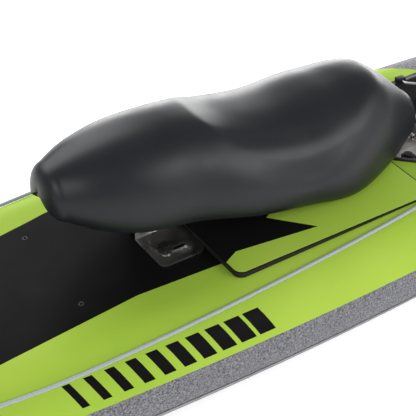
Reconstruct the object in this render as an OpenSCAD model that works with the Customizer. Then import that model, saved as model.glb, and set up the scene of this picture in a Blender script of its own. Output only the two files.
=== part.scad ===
// Inflatable sit-astride kayak: drop-stitch hull, bonded deck skin, raised deck console,
// stern bay and a saddle on sliding stainless brackets.
// Millimetres. +X is the bow, +Y is port, +Z is up. The origin is under the widest
// station of the hull, on the centre plane, at the surface that the hull lies on.

/* [Hull] */
// Half of the beam at the widest station
half_beam = 278; // [240:1:320]
// Thickness of the inflated hull, twice the rail radius
hull_t = 200; // [160:2:220]
// Half-beam lost in the first metre fore or aft of the widest station
plan_drop = 71.6; // [60:0.2:90]
// Distance from the widest station to the stern
stern_len = 1050; // [980:5:1200]
// Thickness of the laminated hull wall
wall_t = 3; // [2:0.5:5]
// Thickness of the wear strips that the hull lies on
strip_t = 2; // [1.5:0.1:3]
// Rise of the bow over the flat bottom
bow_rise = 150; // [0:5:250]
// Distance from the widest station to where the bow starts to rise
rise_start = 700; // [550:10:900]

/* [Deck] */
// Thickness of the bonded deck skin
skin_t = 2; // [1.5:0.1:3]
// How far the skin wraps over the rail, measured from straight up
skin_wrap = 72; // [60:1:85]
// Length of the raised console
console_len = 425; // [380:5:440]
// Half-width of the console
console_half = 192; // [160:1:200]
// Height of the console's black base at its front wall
console_h = 9; // [5:0.5:14]

/* [Stern bay] */
// Depth of the bay below the deck
bay_depth = 56; // [45:1:80]
// Half-width of the bay's pocket
bay_half = 130; // [110:1:135]
// Distance from the widest station to the back of the bay
bay_end = 790; // [700:5:810]

/* [Saddle] */
// Length of the saddle's body between its rounded ends
saddle_len = 732; // [660:2:760]
// Height of the skirt below the widest line of the saddle
skirt = 18; // [14:1:22]
// Thickness of the vinyl cover
cover_t = 2.4; // [1.5:0.1:4]

/* [Brackets and knobs] */
// Thickness of the stainless brackets
plate_t = 2.5; // [2:0.1:3]
// Fore and aft travel of the saddle
travel = 35; // [20:1:36]
// Diameter of the studs
stud_d = 8; // [6:1:10]
// Diameter over the lobes of a knob
knob_d = 27; // [24:1:30]

/* [Deck line] */
// Diameter of the deck line
rope_d = 6.6; // [5:0.2:8]

/* [Hidden] */

lime = [0.64, 0.76, 0.27];
black = [0.06, 0.06, 0.07];
grey = [0.44, 0.44, 0.46];
steel = [0.75, 0.76, 0.78];
rope_grey = [0.62, 0.66, 0.71];

gap = 0.3;                        // clearance between separate pieces
rail_r = hull_t / 2;
deck_z = hull_t;                  // flat deck level
skin_top = deck_z + gap + skin_t;
bow_c = 1000 * sqrt((half_beam - rail_r) / plan_drop);  // rail centres meet here
bow_tip = bow_c + rail_r;
stern_c = -stern_len + rail_r;
stern_corner = 48;                // rounding of the stern, along the rail centres
min_flat = 2;
end_angle = 8;                    // the ends stop just short of a point

// --- Hull shape -------------------------------------------------------------
function plan(x) = half_beam - rail_r - plan_drop * pow(x / 1000, 2);
function flat_half(x) = max(min_flat, x > stern_c ? plan(min(x, bow_c))
  : plan(stern_c) - stern_corner * (1 - end_r(x, rail_r) / rail_r));
function end_r(x, r) =
  x > bow_c ? sqrt(max(0, r * r - pow(x - bow_c, 2)))
            : x < stern_c ? sqrt(max(0, r * r - pow(stern_c - x, 2))) : r;
function rise(x) = x > rise_start
  ? bow_rise * pow((x - rise_start) / (bow_tip - rise_start), 2) : 0;
function slope(x) = x > rise_start
  ? 2 * bow_rise * (x - rise_start) / pow(bow_tip - rise_start, 2) : 0;
function mid_z(x) = rail_r + rise(x);
// height of the rail surface, grown outwards by d, at a distance y from the centre
function rail_z(x, y, d) = mid_z(x)
  + sqrt(pow(end_r(x, rail_r) + d, 2) - pow(max(0, abs(y) - flat_half(x)), 2));

// stations and angles shared by everything that lies on the hull, so that it can't cut into it
mid_steps = 30;
hull_x = concat(
  [for (a = [90 - end_angle : -12 : 10]) stern_c - rail_r * sin(a)],
  [for (i = [0 : mid_steps]) stern_c + (bow_c - stern_c) * i / mid_steps],
  [for (a = [14 : 8.5 : 90 - end_angle]) bow_c + rail_r * sin(a)]);
wrap_steps = 6;
under_steps = 9;
rail_angles = concat([for (i = [0 : wrap_steps]) skin_wrap * i / wrap_steps],
  [for (i = [1 : under_steps]) skin_wrap + (180 - skin_wrap) * i / under_steps]);

// a closed section of the hull, grown by d, whose bottom stops at the top of the wear strips
function hull_ring(x, d) = let (r = end_r(x, rail_r) + d, f = flat_half(x), z = mid_z(x),
    low = strip_t - d) concat(
  [for (i = [wrap_steps + under_steps : -1 : 0]) let (a = rail_angles[i])
    [x, f + r * sin(a), max(low, z + r * cos(a))]],
  [for (a = rail_angles) [x, -f - r * sin(a), max(low, z + r * cos(a))]]);
// an open strip of the hull's surface, grown by d, as far round both rails as the skin goes
function wrap_ring(x, d) = let (r = end_r(x, rail_r) + d, f = flat_half(x), z = mid_z(x)) concat(
  [for (i = [wrap_steps : -1 : 0]) let (a = rail_angles[i]) [x, f + r * sin(a), z + r * cos(a)]],
  [for (i = [0 : wrap_steps]) let (a = rail_angles[i]) [x, -f - r * sin(a), z + r * cos(a)]]);
// a strip along the port rail between two angles
function rail_ring(x, d, a0, a1) = let (r = end_r(x, rail_r) + d, f = flat_half(x))
  [for (a = [a0 : (a1 - a0) / 3 : a1]) [x, f + r * sin(a), mid_z(x) + r * cos(a)]];

// --- Lofting ----------------------------------------------------------------
function flat_list(rings) = [for (r = rings) each r];

module loft(rings) {
  m = len(rings[0]);
  n = len(rings);
  faces = concat(
    [[for (j = [0 : m - 1]) j]],
    [[for (j = [m - 1 : -1 : 0]) (n - 1) * m + j]],
    [for (i = [0 : n - 2]) for (j = [0 : m - 1])
      let (a = i * m + j, b = i * m + (j + 1) % m)
      each [[a, a + m, b + m], [a, b + m, b]]]);
  polyhedron(flat_list(rings), faces);
}

// a sheet between two sets of open rings
module sheet(outer, inner) {
  m = len(outer[0]);
  n = len(outer);
  k = n * m;
  faces = concat(
    [for (i = [0 : n - 2]) for (j = [0 : m - 2])
      let (a = i * m + j, b = a + 1, c = b + m, d = a + m)
      each [[a, d, c], [a, c, b], [k + a, k + c, k + d], [k + a, k + b, k + c]]],
    [for (i = [0 : n - 2]) let (a = i * m, d = a + m, b = a + m - 1, c = b + m)
      each [[d, a, k + a], [d, k + a, k + d], [b, c, k + c], [b, k + c, k + b]]],
    [for (j = [0 : m - 2]) let (a = j, b = j + 1, c = k - m + j, d = c + 1)
      each [[a, b, k + b], [a, k + b, k + a], [d, c, k + c], [d, k + c, k + d]]]);
  polyhedron(concat(flat_list(outer), flat_list(inner)), faces);
}

// Catmull-Rom value of list v at u in 0..1
function smooth(v, u) = let (
    s = u * (len(v) - 1), i = min(floor(s), len(v) - 2), f = s - i,
    p1 = v[i], p2 = v[i + 1],
    p0 = i > 0 ? v[i - 1] : 2 * p1 - p2,
    p3 = i < len(v) - 2 ? v[i + 2] : 2 * p2 - p1)
  p1 + 0.5 * f * (p2 - p0 + f * (2 * p0 - 5 * p1 + 4 * p2 - p3 + f * (3 * (p1 - p2) + p3 - p0)));

// puts its children on the deck at x, tilted with the bow's rise
module on_deck(x) {
  translate([x, 0, deck_z + rise(x)]) rotate([0, -atan(slope(x)), 0]) children();
}

module both_sides() {
  children();
  mirror([0, 1, 0]) children();
}

module rounded_plate(size, r, t) {
  linear_extrude(t) {
    translate([r, 0]) square([size[0] - 2 * r, size[1]]);
    translate([0, r]) square([size[0], size[1] - 2 * r]);
    for (x = [r, size[0] - r]) for (y = [r, size[1] - r]) translate([x, y]) circle(r, $fn = 48);
  }
}

// --- Places -----------------------------------------------------------------
console_front = 203;
console_back = console_front - console_len;
bay_front = -232;
bay_nose = 66;                    // half-width of the bay's front wall
tray_t = 4;
flange_w = 9;
flange_t = 2;
tray_floor = deck_z - bay_depth + tray_t;
foot_gap = 0.3;
front_foot = [console_front + 1, 88, 91];  // back edge, length, width
rear_foot = [-357, 84, 54];
foot_y = 8;                       // inside face of the uprights
slot_in = 26;                     // stud centre behind the front edge of a foot
front_stud_x = front_foot[0] + front_foot[1] - slot_in;
rear_stud_x = rear_foot[0] + rear_foot[1] - slot_in;
front_stud_y = 66;
rear_stud_y = 38;
front_foot_z = skin_top + foot_gap;
rear_foot_z = tray_floor + 3 + foot_gap;
stud_h = 17;                      // stud standing over its plate
slot_r = stud_d / 2 + 0.5;
insert_x = 446;
insert_y = 100;
valve_x = -880;
bail_x = -418;
bail_z = skin_top + gap + flange_t + 4;
bail_r = 3;
bend_r = bail_r + 0.4;             // a bend stands a little proud of the wire
tow_x = 1420;
bow_handle_x = 1180;
stern_handle_x = -945;

module bay_outline(grow) {
  g = grow;
  polygon([
    [bay_front + g, -bay_nose], [bay_front + g, bay_nose],
    [bay_front - (bay_half - bay_nose), bay_half + g], [-bay_end + 40, bay_half + g],
    [-bay_end - g, bay_half - 40], [-bay_end - g, -bay_half + 40],
    [-bay_end + 40, -bay_half - g], [bay_front - (bay_half - bay_nose), -bay_half - g]]);
}

screw_hole_r = 2.2;
module bay_screw_places() {
  for (s = [-1, 1]) for (x = [-340, -520, -700]) translate([x, s * (bay_half + 4), 0]) children();
}

module front_studs() {
  for (s = [-1, 1]) translate([front_stud_x, s * front_stud_y, 0]) children();
}

module rear_studs() {
  for (s = [-1, 1]) translate([rear_stud_x, s * rear_stud_y, 0]) children();
}

// --- Hull pieces --------------------------------------------------------------
// the pockets that the deck fittings sit in, grown by d
module hull_pockets(d) {
  translate([0, 0, deck_z - bay_depth - gap - d]) linear_extrude(bay_depth + 9 + d)
    bay_outline(gap + d);
  front_studs() translate([0, 0, deck_z - 3 - gap - d]) cylinder(r = 30 + gap + d, h = 9 + d, $fn = 60);
  for (s = [-1, 1]) translate([insert_x, s * insert_y, deck_z - 14 - d])
    cylinder(r = 5 + gap + d, h = 20 + d, $fn = 40);
  translate([valve_x, 0, deck_z - 52 - d]) cylinder(r = 24 + gap + d, h = 70 + d, $fn = 60);
}

module hull_chamber() {
  color(grey) difference() {
    loft([for (x = hull_x) hull_ring(x, 0)]);
    hull_pockets(0);
    difference() {
      loft([for (x = hull_x) if (end_r(x, rail_r) > 40) hull_ring(x, -wall_t)]);
      hull_pockets(wall_t);
    }
  }
}

// three strips welded along the bottom, with cut corners at both ends
module keel_strip(x0, x1, half) {
  cut = half * 0.6;
  linear_extrude(strip_t) polygon([[x0, cut - half], [x0 + cut, -half], [x1 - cut, -half],
    [x1, cut - half], [x1, half - cut], [x1 - cut, half], [x0 + cut, half], [x0, half - cut]]);
}
module keel_strips() {
  color([0.1, 0.1, 0.11]) {
    keel_strip(150 - stern_len, rise_start - 60, 20);
    for (s = [-1, 1]) translate([0, s * (half_beam - rail_r - 60), 0])
      keel_strip(240 - stern_len, rise_start - 240, 13);
  }
}

skin_back = -520;
skin_x = concat([skin_back], [for (x = hull_x) if (x > skin_back + 5 && x <= bow_c) x]);
module deck_skin() {
  color(lime) difference() {
    sheet([for (x = skin_x) wrap_ring(x, gap + skin_t)], [for (x = skin_x) wrap_ring(x, gap)]);
    translate([0, 0, deck_z - 5]) linear_extrude(12) bay_outline(gap);
    // stern edge: each side strip is cut off at 45 degrees, outboard end further forward
    for (s = [-1, 1]) translate([0, 0, deck_z - 90]) linear_extrude(120)
      polygon([[-600, s * 80], [-546, s * 80], [-360, s * 266], [-360, s * 300], [-600, s * 300]]);
    front_studs() translate([0, 0, deck_z - 1]) cylinder(d = stud_d + 2, h = 9, $fn = 40);
    for (s = [-1, 1]) translate([insert_x, s * insert_y, deck_z - 1])
      cylinder(r = 5 + gap, h = 9, $fn = 40);
    bay_screw_places() translate([0, 0, deck_z - 1]) cylinder(r = screw_hole_r, h = 9, $fn = 32);
  }
}

tape_x = [for (x = hull_x) if (x >= stern_c && x <= bow_c) x];
module rail_seam_tapes() {
  color([0.55, 0.55, 0.57]) both_sides()
    sheet([for (x = tape_x) rail_ring(x, gap + 0.8, 118, 112)],
          [for (x = tape_x) rail_ring(x, gap, 118, 112)]);
}

module console_plan(inset) {
  r = 16;
  x0 = console_back + inset;
  x1 = console_front - inset;
  y = console_half - inset;
  translate([x0, -y]) square([x1 - x0 - r, 2 * y]);
  translate([x0, -y + r]) square([x1 - x0, 2 * y - 2 * r]);
  for (s = [-1, 1]) translate([x1 - r, s * (y - r)]) circle(r, $fn = 60);
}

console_tail = 1;
console_slope = (console_h - console_tail) / console_len;
// the space between two planes that slope down towards the stern
module console_wedge(z0, z1, sloping_floor) {
  y = console_half + 5;
  a = sloping_floor ? console_h : 0;
  b = sloping_floor ? console_tail : 0;
  translate([0, y, skin_top + 0.1]) rotate([90, 0, 0]) linear_extrude(2 * y)
    polygon([[console_back, b + z0], [console_front, a + z0],
             [console_front, console_h + z1], [console_back, console_tail + z1]]);
}

module console_base() {
  color(black) intersection() {
    translate([0, 0, skin_top]) linear_extrude(30) console_plan(0);
    console_wedge(0, 0, false);
  }
}

panel_t = 2.5;
module console_panel() {
  color(lime) intersection() {
    translate([0, 0, skin_top]) linear_extrude(30) console_plan(1);
    console_wedge(0.1, panel_t, true);
  }
}

module stern_bay_tray() {
  color(black) difference() {
    union() {
      translate([0, 0, deck_z - bay_depth]) linear_extrude(bay_depth + flange_t + gap + skin_t + gap)
        bay_outline(0);
      translate([0, 0, skin_top + gap]) linear_extrude(flange_t) bay_outline(flange_w);
    }
    translate([0, 0, tray_floor]) linear_extrude(bay_depth + 20) bay_outline(-tray_t);
    bay_screw_places() translate([0, 0, deck_z]) cylinder(r = screw_hole_r, h = 12, $fn = 32);
  }
}

module stud_plates() {
  color(steel) {
    front_studs() translate([0, 0, deck_z - 3]) difference() {
      cylinder(r = 30, h = 3, $fn = 60);
      translate([0, 0, -1]) cylinder(d = stud_d, h = 5, $fn = 40);
    }
    rear_studs() translate([0, 0, tray_floor]) difference() {
      cylinder(r = 20, h = 3, $fn = 60);
      translate([0, 0, -1]) cylinder(d = stud_d, h = 5, $fn = 40);
    }
  }
}

module mount_studs() {
  color(steel) {
    front_studs() translate([0, 0, deck_z - 3]) cylinder(d = stud_d, h = 5.6 + stud_h, $fn = 40);
    rear_studs() translate([0, 0, tray_floor]) cylinder(d = stud_d, h = 3 + stud_h, $fn = 40);
  }
}

module washer() {
  difference() {
    cylinder(r = 10, h = 1.6, $fn = 48);
    translate([0, 0, -1]) cylinder(d = stud_d + 0.6, h = 4, $fn = 40);
  }
}

washer_up = plate_t + 0.2;
module knob_washers() {
  color(steel) {
    front_studs() translate([0, 0, front_foot_z + washer_up]) washer();
    rear_studs() translate([0, 0, rear_foot_z + washer_up]) washer();
  }
}

knob_up = washer_up + 1.6 + 0.2;
knob_h = 15;
lobe_r = 3.8;
module knob() {
  color(black) difference() {
    union() {
      cylinder(r = knob_d / 2 - 3, h = knob_h - 3, $fn = 60);
      cylinder(r = knob_d / 2 - 5, h = knob_h, $fn = 60);
      for (i = [0 : 6]) rotate(i * 360 / 7) translate([knob_d / 2 - lobe_r, 0, 2])
        cylinder(r = lobe_r, h = knob_h - 6, $fn = 32);
    }
    translate([0, 0, -1]) cylinder(d = stud_d + 0.1, h = knob_h - 1, $fn = 40);
  }
}

module knob_front_port() {
  translate([front_stud_x, front_stud_y, front_foot_z + knob_up]) knob();
}

module knob_front_starboard() {
  translate([front_stud_x, -front_stud_y, front_foot_z + knob_up]) knob();
}

module knob_rear_port() {
  translate([rear_stud_x, rear_stud_y, rear_foot_z + knob_up]) knob();
}

module knob_rear_starboard() {
  translate([rear_stud_x, -rear_stud_y, rear_foot_z + knob_up]) knob();
}

// --- Saddle --------------------------------------------------------------------
// eight equal stations from the tail to the nose, heights over the deck
saddle_w = [42, 102, 139, 138, 133, 114, 101, 54];
saddle_top = [91, 181, 193, 192, 208, 229, 232, 214];
saddle_mid = [36, 35, 35, 53, 72, 95, 109, 134];
saddle_tail = -300;
squareness = 2.4;                 // exponent of the saddle's cross-section
arc_steps = 9;
cap_r = 13;                       // length of the rounding at both ends

// station values, with the ends drawn in to a rounded tip
function along(x) = min(1, max(0, (x - saddle_tail) / saddle_len));
function tip(x, d) = let (over = max(0, saddle_tail - x, x - saddle_tail - saddle_len))
  over <= 0 ? 1 : sqrt(max(0.0008, 1 - pow(over / (cap_r - d), 2)));
function tip_z(x) = let (u = along(x)) deck_z + 0.55 * smooth(saddle_mid, u)
  + 0.45 * smooth(saddle_top, u);
// one side of the cover's section from the low edge up to the top, drawn in by d
function half_section(x, d, low) = let (
    u = along(x), w = smooth(saddle_w, u) - d, t = deck_z + smooth(saddle_top, u) - d,
    m = deck_z + smooth(saddle_mid, u), b = m - skirt, k = tip(x, d), c = tip_z(x))
  [for (p = concat([[w * (0.93 + 0.07 * low / skirt), b + low], [w * 0.985, b + 0.75 * skirt]],
      [for (i = [0 : arc_steps]) let (a = 90 * i / arc_steps)
        [w * pow(cos(a), 2 / squareness), m + (t - m) * pow(sin(a), 2 / squareness)]]))
    [x, k * p[0], c + k * (p[1] - c)]];
function section(x, d, low) = let (h = half_section(x, d, low), n = len(h))
  concat(h, [for (i = [n - 2 : -1 : 0]) [h[i][0], -h[i][1], h[i][2]]]);
function saddle_x(d) = concat(
  [for (a = [84 : -28 : 20]) saddle_tail - (cap_r - d) * sin(a)],
  [for (i = [0 : 22]) saddle_tail + saddle_len * i / 22],
  [for (a = [28 : 28 : 84]) saddle_tail + saddle_len + (cap_r - d) * sin(a)]);

module saddle_cover() {
  outer = saddle_x(0);
  inner = saddle_x(cover_t);
  color(black) sheet([for (x = outer) section(x, 0, 0)],
                     [for (x = inner) section(x, cover_t, 0)]);
}

pan_t = 7;
module saddle_foam() {
  d = cover_t + gap;
  color([0.85, 0.8, 0.55]) loft([for (x = saddle_x(d)) section(x, d, pan_t + 1.6)]);
}

module saddle_pan() {
  d = cover_t + gap;
  x0 = saddle_tail + 12;
  x1 = saddle_tail + saddle_len - 18;
  n = 20;
  color(black) loft([for (i = [0 : n]) let (
      x = x0 + (x1 - x0) * i / n, u = along(x), w = 0.93 * (smooth(saddle_w, u) - d) - 1,
      b = deck_z + smooth(saddle_mid, u) - skirt + 1)
    [[x, w, b], [x, w, b + pan_t], [x, -w, b + pan_t], [x, -w, b]]]);
}

function pan_under(x) = deck_z + smooth(saddle_mid, along(x)) - skirt + 1 - gap;

// a block of the post's width whose top follows the pan from x0 to x1
module under_pan(x0, x1, z0) {
  w = foot_y - 0.1;
  n = 6;
  translate([0, w, 0]) rotate([90, 0, 0]) linear_extrude(2 * w)
    polygon(concat([[x0, z0], [x1, z0]],
      [for (i = [n : -1 : 0]) let (x = x0 + (x1 - x0) * i / n) [x, pan_under(x) - 0.5]]));
}

bolt_r = 3;
front_bolts = [for (x = [222, 266]) [x, deck_z + 46]];
rear_bolts = [for (x = [-332, -298]) [x, deck_z - 18]];

module bolt_holes(places) {
  for (p = places) translate([p[0], 0, p[1]]) rotate([90, 0, 0])
    cylinder(r = bolt_r + 0.2, h = 60, center = true, $fn = 32);
}

module front_post() {
  color(black) difference() {
    under_pan(front_foot[0] + 4, front_foot[0] + front_foot[1] - 6, front_foot_z + 16);
    bolt_holes(front_bolts);
  }
}

module rear_post() {
  color(black) difference() {
    union() {
      under_pan(rear_foot[0] + rear_foot[1] - 4, -150, skin_top + 8.5);
      translate([rear_foot[0] + 4, 0.1 - foot_y, rear_foot_z + 16])
        cube([rear_foot[1] - 4, 2 * foot_y - 0.2, skin_top + 15 - rear_foot_z - 16]);
    }
    bolt_holes(rear_bolts);
  }
}

// an angle bracket on the port side: foot with a slot, upright with two bolt holes
module bracket(foot, foot_z, up_h, stud_y, bolts) {
  x0 = foot[0];
  slot_x = x0 + foot[1] - slot_in;
  color(steel) difference() {
    union() {
      translate([x0, foot_y, foot_z]) rounded_plate([foot[1], foot[2]], 13, plate_t);
      translate([x0, foot_y, foot_z]) cube([foot[1], 16, plate_t]);
      translate([x0, foot_y, foot_z]) cube([foot[1], plate_t, up_h - 14]);
      translate([x0 + 14, foot_y, foot_z]) cube([foot[1] - 28, plate_t, up_h]);
      for (x = [x0 + 14, x0 + foot[1] - 14]) translate([x, foot_y + plate_t, foot_z + up_h - 14])
        rotate([90, 0, 0]) cylinder(r = 14, h = plate_t, $fn = 60);
    }
    hull() for (x = [slot_x - travel, slot_x]) translate([x, stud_y, foot_z - 1])
      cylinder(r = slot_r, h = plate_t + 2, $fn = 32);
    bolt_holes(bolts);
  }
}

front_up = 60;
rear_up = 58;
module front_bracket_port() {
  bracket(front_foot, front_foot_z, front_up, front_stud_y, front_bolts);
}

module front_bracket_starboard() {
  mirror([0, 1, 0]) front_bracket_port();
}

module rear_bracket_port() {
  bracket(rear_foot, rear_foot_z, rear_up, rear_stud_y, rear_bolts);
}

module rear_bracket_starboard() {
  mirror([0, 1, 0]) rear_bracket_port();
}

bolt_face = foot_y + plate_t + 0.1;
module bracket_bolts() {
  color(steel) for (p = concat(front_bolts, rear_bolts)) translate([p[0], bolt_face, p[1]]) {
    rotate([90, 0, 0]) cylinder(r = bolt_r, h = 2 * bolt_face + 9, $fn = 32);
    rotate([-90, 0, 0]) difference() {
      cylinder(r = 5, h = 4, $fn = 40);
      translate([0, 0, 1.5]) cylinder(r = 2.5, h = 4, $fn = 6);
    }
  }
}

module bracket_nuts() {
  color(steel) for (p = concat(front_bolts, rear_bolts)) translate([p[0], -bolt_face - 0.1, p[1]])
    rotate([90, 0, 0]) difference() {
      cylinder(r = 5.6, h = 5, $fn = 6);
      translate([0, 0, -1]) cylinder(r = bolt_r + 0.05, h = 8, $fn = 32);
    }
}

// --- Deck line ------------------------------------------------------------------
// places of the port line on the deck, from the stern eye to the bow eye
line_route = [[-350, 176], [-270, 190], [-170, 204], [-30, 215], [110, 222], [260, 226],
              [410, 226], [540, 222], [650, 213], [760, 200]];
line_up = gap + skin_t + rope_d / 2 + 0.5;
line_rings = 38;
eye_len = 14;
eye_in = 3.6;
eye_out = 6;
eye_lift = 5;                     // the ends of the line rise to pass through the eyes
knot_r = 0.75 * rope_d;

function route_at(u) = [smooth([for (p = line_route) p[0]], u), smooth([for (p = line_route) p[1]], u)];
function lift(x, y) = rail_z(x, y, line_up + eye_lift * pow(2 * along_line(x) - 1, 8));
function along_line(x) = (x - line_route[0][0])
  / (line_route[len(line_route) - 1][0] - line_route[0][0]);
function line_point(u) = let (p = route_at(u)) [p[0], p[1], lift(p[0], p[1])];
line_points = [for (i = [0 : line_rings]) line_point(i / line_rings)];
function unit(v) = v / norm(v);
function line_ring(i) = let (
    a = line_points[max(0, i - 1)], b = line_points[min(line_rings, i + 1)], t = unit(b - a),
    side = unit(cross([0, 0, 1], t)), up = cross(t, side))
  [for (j = [0 : 7]) line_points[i] + rope_d / 2 * (cos(45 * j) * side + sin(45 * j) * up)];

module deck_line_port() {
  color(rope_grey) loft([for (i = [0 : line_rings]) line_ring(i)]);
}

module deck_line_starboard() {
  mirror([0, 1, 0]) deck_line_port();
}

// a base disc with a barrel that the line runs through, at one end of the port line
module line_eye(at, toward) {
  d = toward - at;
  yaw = atan2(d[1], d[0]);
  pitch = -atan2(d[2], norm([d[0], d[1]]));
  tilt = asin(max(0, at[1] - flat_half(at[0])) / (rail_r + line_up + eye_lift));
  color(steel) difference() {
    union() {
      translate(at) rotate([0, pitch, yaw]) rotate([0, 90, 0])
        translate([0, 0, 5]) cylinder(r = eye_out, h = eye_len, $fn = 40);
      // the disc lies on the rail
      translate(at + 12 * unit(d)) rotate([-tilt, 0, 0]) translate([0, 0, -eye_out - 1])
        cylinder(r = 9, h = 3.5, $fn = 48);
    }
    translate(at) rotate([0, pitch, yaw]) rotate([0, 90, 0])
      translate([0, 0, -10]) cylinder(r = eye_in, h = 60, $fn = 40);
  }
}

module deck_line_eyes() {
  both_sides() {
    line_eye(line_points[0], line_points[1]);
    line_eye(line_points[line_rings], line_points[line_rings - 1]);
  }
}

module deck_line_knots() {
  color(rope_grey) both_sides() for (e = [[0, 1], [line_rings, line_rings - 1]]) {
    at = line_points[e[0]];
    away = unit(at - line_points[e[1]]);
    translate(at + away * (knot_r - 0.5)) sphere(r = knot_r, $fn = 32);
  }
}

// --- Deck fittings --------------------------------------------------------------
module accessory_inserts() {
  color([0.2, 0.2, 0.2]) for (s = [-1, 1]) translate([insert_x, s * insert_y, deck_z - 13]) difference() {
    cylinder(r = 5, h = 13 + gap + skin_t, $fn = 40);
    translate([0, 0, 3]) cylinder(r = 2.5, h = 20, $fn = 40);
  }
}

bail_pts = [[0, 134], [0, 114], [-48, 66], [-48, -66], [0, -114], [0, -134]];
module bail_handle() {
  color(steel) for (i = [0 : len(bail_pts) - 2]) {
    a = [bail_x + bail_pts[i][0], bail_pts[i][1], bail_z];
    b = [bail_x + bail_pts[i + 1][0], bail_pts[i + 1][1], bail_z];
    d = [b[0] - a[0], b[1] - a[1]];
    translate(a) rotate([0, 90, atan2(d[1], d[0])]) cylinder(r = bail_r, h = norm(d), $fn = 32);
    if (i > 0) let (back = unit(bail_pts[i - 1] - bail_pts[i]), out = back + unit(d))
      translate(a) rotate(atan2(-out[1], -out[0])) sphere(r = bend_r, $fn = 32);
  }
}

module bail_blocks() {
  color(black) both_sides() difference() {
    translate([bail_x - 9, 124, skin_top + gap + flange_t + 0.05]) cube([18, 14, 9.5]);
    translate([bail_x, 110, bail_z]) rotate([-90, 0, 0]) cylinder(r = bail_r + 0.06, h = 26, $fn = 40);
  }
}

module bay_screws() {
  color(steel) bay_screw_places() translate([0, 0, skin_top + gap + flange_t]) {
    translate([0, 0, 0.05]) cylinder(r = 3.8, h = 1.8, $fn = 32);
    translate([0, 0, -3]) cylinder(r = 2, h = 3.2, $fn = 32);
  }
}

// --- Inflation valve --------------------------------------------------------------
module valve_body() {
  color([0.25, 0.25, 0.27]) translate([valve_x, 0, deck_z]) difference() {
    union() {
      translate([0, 0, -40]) cylinder(r = 24, h = 40, $fn = 60);
      cylinder(r = 33, h = 3, $fn = 72);
      for (s = [-1, 1]) translate([-37, s * 10 - 3, 0]) cube([10, 6, 9.5]);
    }
    translate([0, 0, -36]) cylinder(r = 20, h = 50, $fn = 60);
    translate([-33, -20, 6]) rotate([-90, 0, 0]) cylinder(r = 1.5, h = 40, $fn = 24);
    translate([0, 0, -50]) cylinder(r = 12, h = 20, $fn = 48);
  }
}

module valve_seat() {
  color([0.3, 0.3, 0.3]) translate([valve_x, 0, deck_z - 35.9]) difference() {
    cylinder(r = 19.8, h = 3, $fn = 60);
    translate([0, 0, -1]) cylinder(r = 5.05, h = 6, $fn = 48);
    for (i = [0 : 3]) rotate(45 + 90 * i) translate([12, 0, -1]) cylinder(r = 3.5, h = 6, $fn = 32);
  }
}

module valve_plunger() {
  color([0.9, 0.9, 0.88]) translate([valve_x, 0, deck_z]) {
    translate([0, 0, -42]) cylinder(r = 5, h = 28, $fn = 48);
    translate([0, 0, -16]) cylinder(r = 9, h = 4, $fn = 48);
    translate([0, 0, -43.3]) cylinder(r = 14, h = 3, $fn = 48);
  }
}

spring_r = 7;
spring_wire = 0.7;
spring_low = -32.1;
spring_high = -16.8;
spring_turns = 4;
function spring_ring(u) = let (a = 360 * spring_turns * u, out = [cos(a), sin(a), 0])
  [for (j = [0 : 7]) [valve_x, 0, deck_z + spring_low + (spring_high - spring_low) * u]
    + (spring_r + spring_wire * cos(45 * j)) * out + [0, 0, -spring_wire * sin(45 * j)]];
module valve_spring() {
  n = 14 * spring_turns;
  color(steel) loft([for (i = [0 : n]) spring_ring(i / n)]);
}

module valve_cap() {
  color([0.2, 0.2, 0.22]) translate([valve_x, 0, deck_z]) {
    translate([0, 0, 3.3]) cylinder(r = 26, h = 5, $fn = 60);
    translate([0, 0, 0]) cylinder(r = 19.5, h = 4, $fn = 60);
    difference() {
      union() {
        translate([-33, -6.5, 5]) cube([12, 13, 3.3]);
        translate([-33, -6.5, 6]) rotate([-90, 0, 0]) cylinder(r = 2.6, h = 13, $fn = 32);
      }
      translate([-33, -20, 6]) rotate([-90, 0, 0]) cylinder(r = 1.55, h = 40, $fn = 24);
    }
    translate([22, -6, 3.3]) cube([12, 12, 3]);
  }
}

module valve_hinge_pin() {
  color(steel) translate([valve_x - 33, -13, deck_z + 6]) rotate([-90, 0, 0])
    cylinder(r = 1.5, h = 26, $fn = 24);
}

// --- Carry handles and tow ring ------------------------------------------------------
strap_w = 38;
strap_t = 2.5;
handle_half = 85;
handle_rise = 34;
// a strap across the deck that arches over a hand's space, seen along X
module strap_profile() {
  c = strap_t;
  polygon([
    [-handle_half - 40, 0], [-handle_half, 0], [-handle_half + 30, handle_rise],
    [handle_half - 30, handle_rise], [handle_half, 0], [handle_half + 40, 0],
    [handle_half + 40, c], [handle_half + 1.5, c], [handle_half - 29, handle_rise + c],
    [-handle_half + 29, handle_rise + c], [-handle_half - 1.5, c], [-handle_half - 40, c]]);
}

module strap(ends) {
  color(black) intersection() {
    translate([-strap_w / 2, 0, 0]) rotate([90, 0, 90]) linear_extrude(strap_w) strap_profile();
    translate([-50, -ends, -1]) cube([100, 2 * ends, 60]);
  }
}

module grip() {
  color([0.12, 0.12, 0.13]) translate([0, -48, handle_rise + strap_t / 2]) rotate([-90, 0, 0]) difference() {
    cylinder(r = 23, h = 96, $fn = 60);
    translate([-strap_w / 2 - 0.3, -strap_t / 2 - 0.3, -1]) cube([strap_w + 0.6, strap_t + 0.6, 98]);
    translate([-30, -50, -1]) cube([60, 42, 98]);
    translate([-30, 8, -1]) cube([60, 42, 98]);
  }
}

bow_strap_up = gap + skin_t + 1.5;
bow_strap_half = 76;
module bow_handle_strap() {
  on_deck(bow_handle_x) translate([0, 0, bow_strap_up]) strap(bow_strap_half + 30);
}

module bow_handle_grip() {
  on_deck(bow_handle_x) translate([0, 0, bow_strap_up]) grip();
}

module stern_handle_strap() {
  translate([stern_handle_x, 0, deck_z + 0.5]) strap(112);
}

module stern_handle_grip() {
  translate([stern_handle_x, 0, deck_z + 0.5]) grip();
}

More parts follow.
